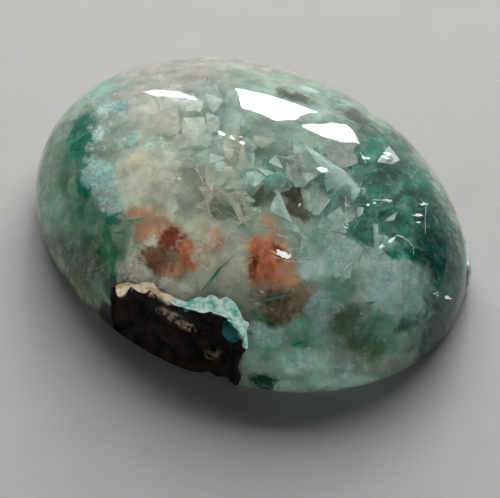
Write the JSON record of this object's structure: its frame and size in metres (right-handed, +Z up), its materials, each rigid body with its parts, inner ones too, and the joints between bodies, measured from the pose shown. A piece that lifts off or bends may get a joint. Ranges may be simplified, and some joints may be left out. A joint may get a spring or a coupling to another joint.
{
  "type": "polished gem silica stone",
  "caption": "Oval domed cabochon of translucent green gem silica with a rough natural recess in one edge; rests on its flat base.",
  "frame": {"origin": "centre of the flat base, on the surface that the stone rests on", "axes": "+Z up through the top of the dome, +X along the stone's length, the natural recess opens towards -Y"},
  "size_m": [0.0342, 0.0264, 0.0104],
  "materials": {
    "gem_silica": "polished translucent green chalcedony and quartz",
    "cloudy_silica": null,
    "matrix_crust": null
  },
  "bodies": {
    "root": {"gem_silica_stone": "gem_silica"}
  },
  "joints": []
}
